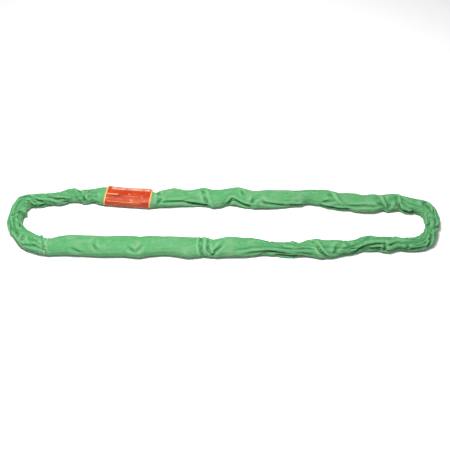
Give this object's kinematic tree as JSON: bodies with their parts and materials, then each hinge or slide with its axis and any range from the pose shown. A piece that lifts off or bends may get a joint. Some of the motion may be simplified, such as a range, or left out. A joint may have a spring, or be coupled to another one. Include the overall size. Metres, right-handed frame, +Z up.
{
  "type": "round sling",
  "caption": "Endless soft lifting sling: a bundled yarn core inside a green double woven cover, with a sewn-on label, laid flat in a long loop.",
  "frame": {"origin": "middle of the loop's box, on the surface it lies on", "axes": "+X along the loop, towards the squarer bight; +Y towards the leg with the label; +Z up"},
  "size_m": [0.904, 0.1824, 0.0237],
  "materials": {
    "outer_weave": "coarse woven polyester",
    "inner_weave": "fine woven polyester",
    "core_yarn": "twisted polyester yarn",
    "binding_tape": "cloth tape",
    "label_cloth": "coated label cloth",
    "label_thread": "sewing thread",
    "seam_thread": "sewing thread"
  },
  "bodies": {
    "root": {"outer_cover": "outer_weave", "inner_cover": "inner_weave", "core_turn_01": "core_yarn", "core_turn_02": "core_yarn", "core_turn_03": "core_yarn", "core_turn_04": "core_yarn", "core_turn_05": "core_yarn", "core_turn_06": "core_yarn", "core_turn_07": "core_yarn", "core_turn_08": "core_yarn", "core_turn_09": "core_yarn", "core_turn_10": "core_yarn", "core_turn_11": "core_yarn", "core_turn_12": "core_yarn", "core_turn_13": "core_yarn", "core_turn_14": "core_yarn", "core_turn_15": "core_yarn", "core_turn_16": "core_yarn", "core_turn_17": "core_yarn", "core_turn_18": "core_yarn", "core_turn_19": "core_yarn", "core_end_tape": "binding_tape", "label": "label_cloth", "label_stitches_left": "label_thread", "label_stitches_right": "label_thread", "label_stitches_near": "label_thread", "label_stitches_far": "label_thread", "cover_seam_stitches": "seam_thread"}
  },
  "joints": []
}
